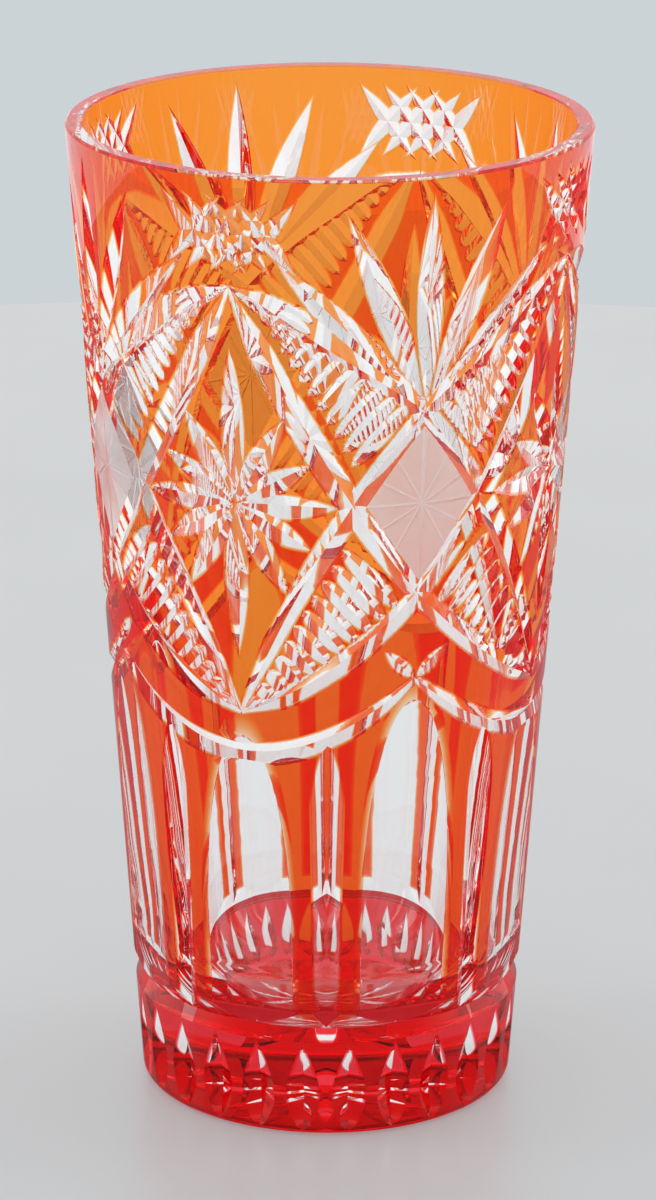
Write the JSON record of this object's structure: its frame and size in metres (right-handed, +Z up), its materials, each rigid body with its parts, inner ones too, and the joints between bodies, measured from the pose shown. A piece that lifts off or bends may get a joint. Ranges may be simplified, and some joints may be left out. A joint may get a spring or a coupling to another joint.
{
  "type": "vase",
  "caption": "Tall flared vase of thick clear crystal in a thin orange to red glass casing, with stars, fans, frosted diamonds, swags and flutes cut through the colour.",
  "frame": {"origin": "centre of the base, on the surface that the vase stands on", "axes": "+Z up along the vase's axis; the pictured side faces -Y"},
  "size_m": [0.1286, 0.1286, 0.25],
  "materials": {
    "crystal": "clear lead crystal, wheel cut and polished",
    "casing_orange": "clear orange casing glass, polished",
    "casing_vermilion": "clear vermilion casing glass, polished",
    "casing_red": "clear deep red casing glass, polished"
  },
  "bodies": {
    "root": {"crystal_body": "crystal", "casing_collar": "casing_orange", "casing_upper_comb_1": "casing_orange", "casing_upper_comb_2": "casing_orange", "casing_upper_comb_3": "casing_orange", "casing_upper_comb_4": "casing_orange", "casing_upper_comb_5": "casing_orange", "casing_upper_comb_6": "casing_orange", "casing_upper_comb_7": "casing_orange", "casing_upper_comb_8": "casing_orange", "casing_star_panel_1": "casing_orange", "casing_star_panel_2": "casing_orange", "casing_star_panel_3": "casing_orange", "casing_star_panel_4": "casing_orange", "casing_lower_comb_1": "casing_orange", "casing_lower_comb_2": "casing_orange", "casing_lower_comb_3": "casing_orange", "casing_lower_comb_4": "casing_orange", "casing_lower_comb_5": "casing_orange", "casing_lower_comb_6": "casing_orange", "casing_lower_comb_7": "casing_orange", "casing_lower_comb_8": "casing_orange", "casing_garland": "casing_vermilion", "casing_arch_1": "casing_vermilion", "casing_arch_2": "casing_vermilion", "casing_arch_3": "casing_vermilion", "casing_arch_4": "casing_vermilion", "casing_strip_1": "casing_vermilion", "casing_strip_2": "casing_vermilion", "casing_strip_3": "casing_vermilion", "casing_strip_4": "casing_vermilion", "casing_strip_5": "casing_vermilion", "casing_strip_6": "casing_vermilion", "casing_strip_7": "casing_vermilion", "casing_strip_8": "casing_vermilion", "casing_foot": "casing_red"}
  },
  "joints": []
}
